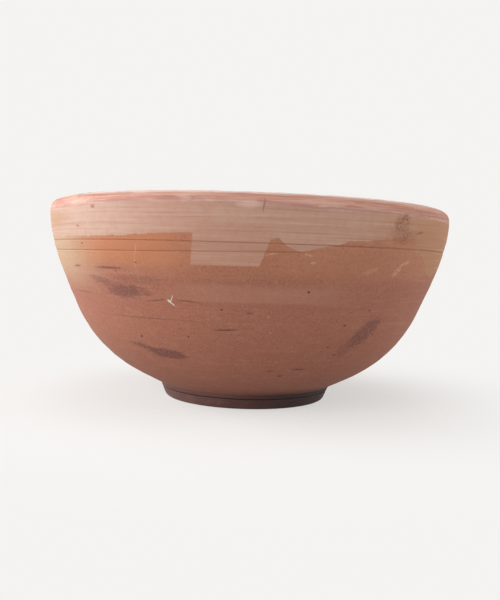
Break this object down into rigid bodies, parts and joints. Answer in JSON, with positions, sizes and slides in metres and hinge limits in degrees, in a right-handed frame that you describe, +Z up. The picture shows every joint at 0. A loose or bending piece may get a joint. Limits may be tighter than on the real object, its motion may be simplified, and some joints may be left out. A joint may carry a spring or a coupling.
{
  "type": "serving bowl",
  "caption": "Round serving bowl of unglazed fired clay with a thickened lip, incised lines on the shoulder and a luted foot ring.",
  "frame": {"origin": "centre of the circle that the foot ring rests on", "axes": "+Z up, along the bowl's axis; -Y towards the viewer of the picture"},
  "size_m": [0.3, 0.3, 0.145],
  "materials": {
    "bowl_clay": "matte, wheel brushed, with a worn pale coat round the shoulder",
    "slip": "matte, rough",
    "foot_clay": "matte, turned, stained"
  },
  "bodies": {
    "root": {"bowl_body": "bowl_clay", "luting_slip": "slip", "foot_ring": "foot_clay"}
  },
  "joints": []
}
